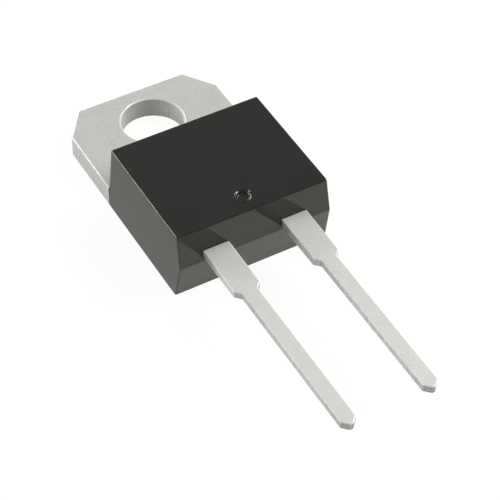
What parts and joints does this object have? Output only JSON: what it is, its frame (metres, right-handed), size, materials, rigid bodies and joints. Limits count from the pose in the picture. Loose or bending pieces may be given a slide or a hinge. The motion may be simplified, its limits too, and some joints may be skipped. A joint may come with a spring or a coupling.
{
  "type": "rectifier diode",
  "caption": "Power rectifier diode: a black moulded block with flat plated leads at one end and a drilled metal heatsink tab at the other.",
  "frame": {"origin": "middle of the package's outline seen from above, on the flat mounting face at the back of the tab", "axes": "+Y runs from the lead tips to the end of the tab, +X runs across the package from the cathode lead to the anode lead, +Z points out of the mounting face to the top of the moulding"},
  "size_m": [0.01, 0.0298, 0.0046],
  "materials": {
    "epoxy_moulding": "smooth, semi-gloss, black",
    "tin_plated_copper": "satin tin plating",
    "silicon": "polished, dark grey",
    "soft_solder": "dull grey",
    "aluminium_wire": "drawn, bright"
  },
  "bodies": {
    "root": {"moulded_body": "epoxy_moulding", "heatsink_header": "tin_plated_copper", "anode_lead": "tin_plated_copper", "diode_chip": "silicon", "chip_solder": "soft_solder", "bond_wire_1": "aluminium_wire", "bond_wire_2": "aluminium_wire"}
  },
  "joints": []
}
